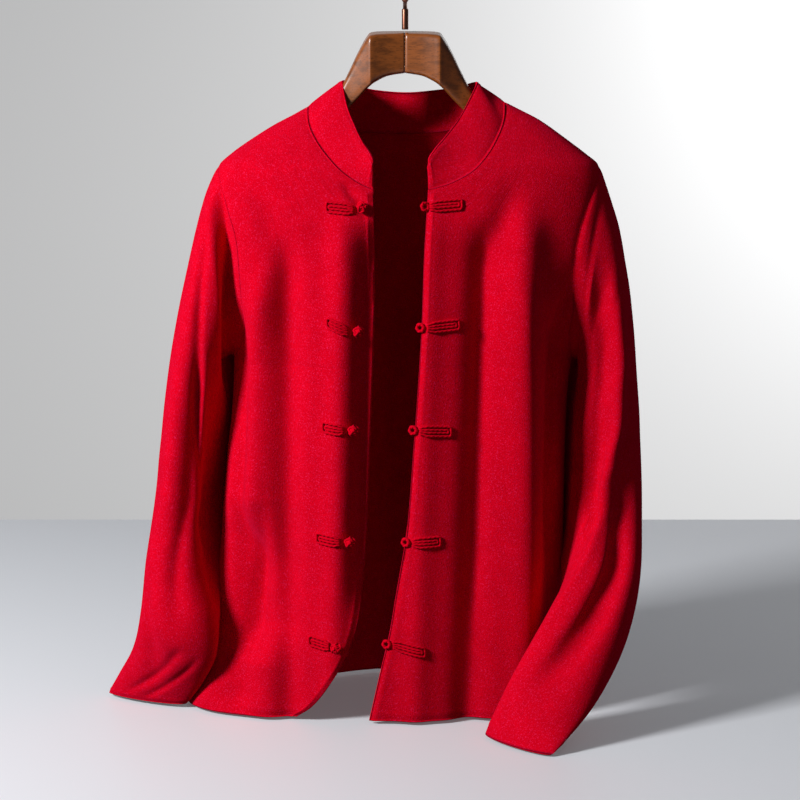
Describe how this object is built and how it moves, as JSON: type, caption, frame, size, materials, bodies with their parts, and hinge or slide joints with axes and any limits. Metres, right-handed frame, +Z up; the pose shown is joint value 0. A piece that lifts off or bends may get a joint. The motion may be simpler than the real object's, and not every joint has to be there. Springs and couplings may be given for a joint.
{
  "type": "mandarin collar cardigan on a wooden hanger",
  "caption": "Felted wool cardigan with a stand collar, open fronts, set-in sleeves and cord frog fastenings, hung on a wooden hanger with a metal hook.",
  "frame": {"origin": "point inside the top of the hanger's hook that bears on a rail", "axes": "+Z up, the front of the cardigan faces -Y, and +X is the right of the front view"},
  "size_m": [0.587, 0.3071, 0.8022],
  "materials": {
    "cloth": "brushed felted wool knit, matt with a short nap",
    "cord": "matt knitted cord",
    "wood": "gloss lacquered walnut",
    "hook_metal": "polished copper-coloured metal"
  },
  "bodies": {
    "root": {"front_left": "cloth", "front_right": "cloth", "back": "cloth", "sleeve_left": "cloth", "sleeve_right": "cloth", "collar": "cloth", "frog_1_strap_left": "cord", "frog_1_knot": "cord", "frog_1_ring": "cord", "frog_1_strap_right": "cord", "frog_2_strap_left": "cord", "frog_2_knot": "cord", "frog_2_ring": "cord", "frog_2_strap_right": "cord", "frog_3_strap_left": "cord", "frog_3_knot": "cord", "frog_3_ring": "cord", "frog_3_strap_right": "cord", "frog_4_strap_left": "cord", "frog_4_knot": "cord", "frog_4_ring": "cord", "frog_4_strap_right": "cord", "frog_5_strap_left": "cord", "frog_5_knot": "cord", "frog_5_ring": "cord", "frog_5_strap_right": "cord", "hanger_left": "wood", "hanger_right": "wood", "hook": "hook_metal"}
  },
  "joints": []
}
